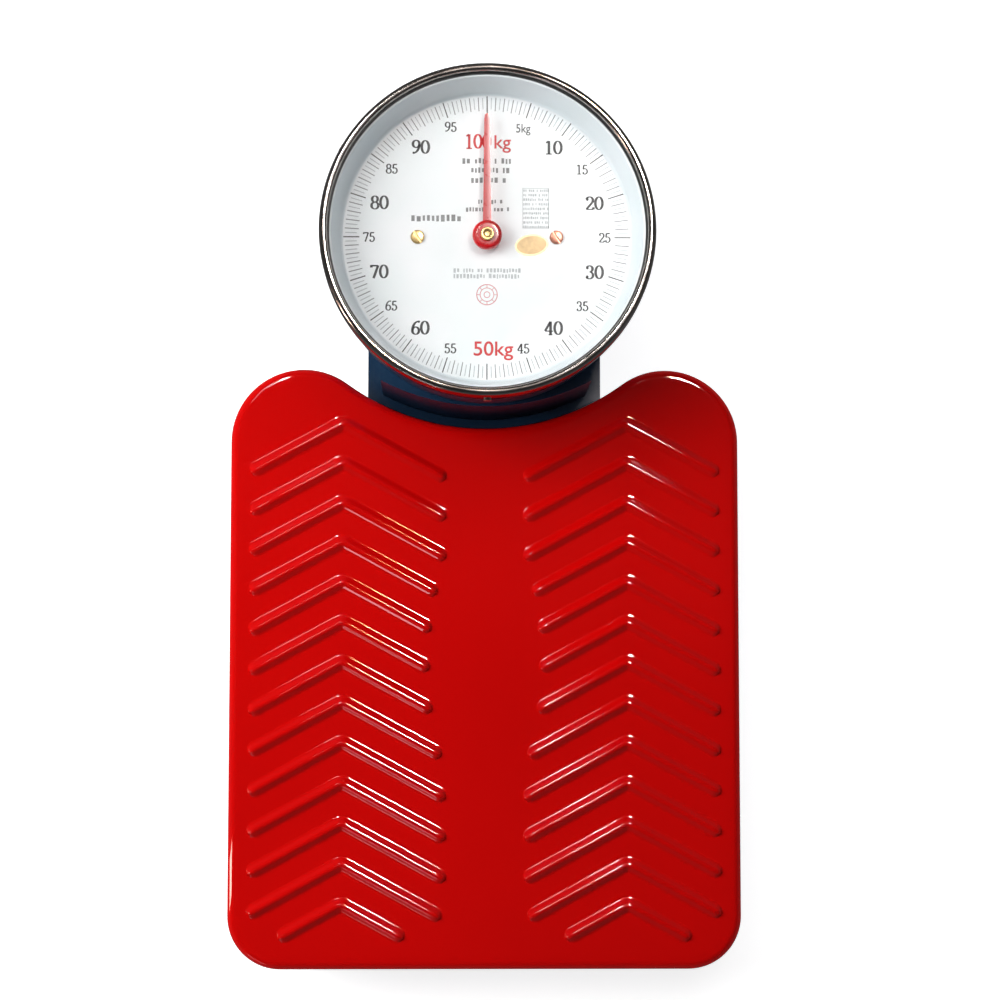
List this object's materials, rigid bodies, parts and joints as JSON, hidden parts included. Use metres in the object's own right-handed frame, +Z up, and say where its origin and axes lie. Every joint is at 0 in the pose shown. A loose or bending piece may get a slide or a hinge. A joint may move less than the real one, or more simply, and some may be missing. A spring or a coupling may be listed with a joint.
{
  "type": "dial platform scale",
  "caption": "Mechanical platform scale: a ribbed pressed platform on two levers, and a round dial head behind it whose pointer shows the load; a zero wheel stands out of the neck's rear",
  "frame": {"origin": "middle of the bounding box in plan, at floor level", "axes": "+X to the user's right, +Y from the front edge towards the dial head, +Z up"},
  "size_m": [0.3, 0.512, 0.174],
  "materials": {
    "red_enamel": "glossy baked enamel on pressed steel",
    "navy_enamel": "satin navy enamel on sheet steel",
    "zinc_steel": "zinc plated, dull",
    "dark_chrome": "polished plated steel",
    "clear_glass": "clear flat glass",
    "black_rubber": "matte",
    "dial_white": "satin white printed aluminium",
    "trim_white": "gloss white",
    "brass_fittings": "turned brass",
    "pointer_red": "satin red",
    "spring_steel": "oiled spring wire",
    "black_moulding": "moulded, fine grain"
  },
  "bodies": {
    "base": {"arbor_bushes": "brass_fittings", "base_pan": "navy_enamel", "bezel_ring": "dark_chrome", "bezel_screws": "zinc_steel", "dial_glass": "clear_glass", "dial_plate": "dial_white", "dial_plate_screws": "brass_fittings", "dial_posts": "zinc_steel", "drum_case": "navy_enamel", "drum_screws": "zinc_steel", "foot_screws": "zinc_steel", "front_fulcrum_cradles": "zinc_steel", "glass_gasket": "black_rubber", "inner_trim_ring": "trim_white", "movement_base_plate": "brass_fittings", "movement_pillars": "brass_fittings", "movement_top_plate": "brass_fittings", "neck_housing": "navy_enamel", "neck_screws": "zinc_steel", "rack_guide": "brass_fittings", "rear_fulcrum_cradles": "zinc_steel", "rocker_brackets": "brass_fittings", "rubber_feet": "black_rubber", "spring_bracket": "zinc_steel"},
    "platform": {"platform_plate": "red_enamel", "front_cross_member": "zinc_steel", "rear_cross_member": "zinc_steel", "platform_bearers": "zinc_steel"},
    "main_lever": {"main_lever_left_arm": "zinc_steel", "main_lever_right_arm": "zinc_steel", "main_lever_fulcrum_pins": "zinc_steel", "main_lever_load_pins": "zinc_steel", "main_lever_nose_pin": "zinc_steel", "main_lever_cross_bar": "zinc_steel"},
    "short_lever": {"short_lever_left_arm": "zinc_steel", "short_lever_right_arm": "zinc_steel", "short_lever_fulcrum_pins": "zinc_steel", "short_lever_load_pins": "zinc_steel", "short_lever_nose_bar": "zinc_steel"},
    "crosshead": {"spring_crosshead": "zinc_steel", "draw_stirrup": "zinc_steel", "draw_rod": "zinc_steel", "left_spring": "spring_steel", "right_spring": "spring_steel"},
    "rocker": {"rocker_shaft": "zinc_steel", "rocker_level_arm": "zinc_steel", "rocker_upright_arm": "zinc_steel"},
    "rack_bar": {"rack": "brass_fittings"},
    "pointer": {"pointer_arbor": "zinc_steel", "pinion": "brass_fittings", "pointer_needle": "pointer_red", "pointer_hub": "pointer_red", "pointer_nut": "brass_fittings"},
    "zero_wheel": {"zero_thumbwheel": "black_moulding"},
    "hanger": {"spring_hanger": "zinc_steel", "hanger_rod": "zinc_steel"}
  },
  "joints": [
    {"name": "platform_press", "type": "slide", "parent": "base", "child": "platform", "axis": [0, 0, -1], "range_m": [0, 0.00172]},
    {"name": "main_lever_tilt", "type": "hinge", "parent": "base", "child": "main_lever", "pos_m": [0, -0.215, 0.027], "axis": [-1, 0, 0], "range_deg": [0, 2.47]},
    {"name": "short_lever_tilt", "type": "hinge", "parent": "base", "child": "short_lever", "pos_m": [0, 0.03, 0.046], "axis": [1, 0, 0], "range_deg": [0, 2.47]},
    {"name": "draw_slide", "type": "slide", "parent": "base", "child": "crosshead", "axis": [0, 0, -1], "range_m": [0, 0.01571], "stiffness_N_per_m": 6844, "springref_m": -0.0009, "deforming": ["left_spring", "right_spring"]},
    {"name": "rocker_tilt", "type": "hinge", "parent": "base", "child": "rocker", "pos_m": [0.022, 0.165, 0.117], "axis": [0, 1, 0], "range_deg": [0, 40.92]},
    {"name": "rack_slide", "type": "slide", "parent": "base", "child": "rack_bar", "axis": [1, 0, 0], "range_m": [0, 0.01571]},
    {"name": "pointer_spin", "type": "hinge", "parent": "base", "child": "pointer", "pos_m": [0, 0.1615, 0.154], "axis": [0, 0, -1], "range_deg": [0, 360]},
    {"name": "zero_wheel_turn", "type": "hinge", "parent": "base", "child": "zero_wheel", "pos_m": [0, 0.15, 0.102], "axis": [0, 0, 1], "range_deg": [-360, 360]},
    {"name": "hanger_slide", "type": "slide", "parent": "base", "child": "hanger", "axis": [0, 0, 1], "range_m": [-0.001, 0.001]}
  ],
  "couplings": [
    {"joint": "main_lever_tilt", "follows": "platform_press", "rad_per_m": 25},
    {"joint": "short_lever_tilt", "follows": "platform_press", "rad_per_m": 25},
    {"joint": "draw_slide", "follows": "platform_press", "ratio": 9.125},
    {"joint": "rocker_tilt", "follows": "platform_press", "rad_per_m": 414.77},
    {"joint": "rack_slide", "follows": "platform_press", "ratio": 9.125},
    {"joint": "pointer_spin", "follows": "platform_press", "rad_per_m": 3650},
    {"joint": "hanger_slide", "follows": "zero_wheel_turn", "m_per_rad": 0.000159}
  ]
}
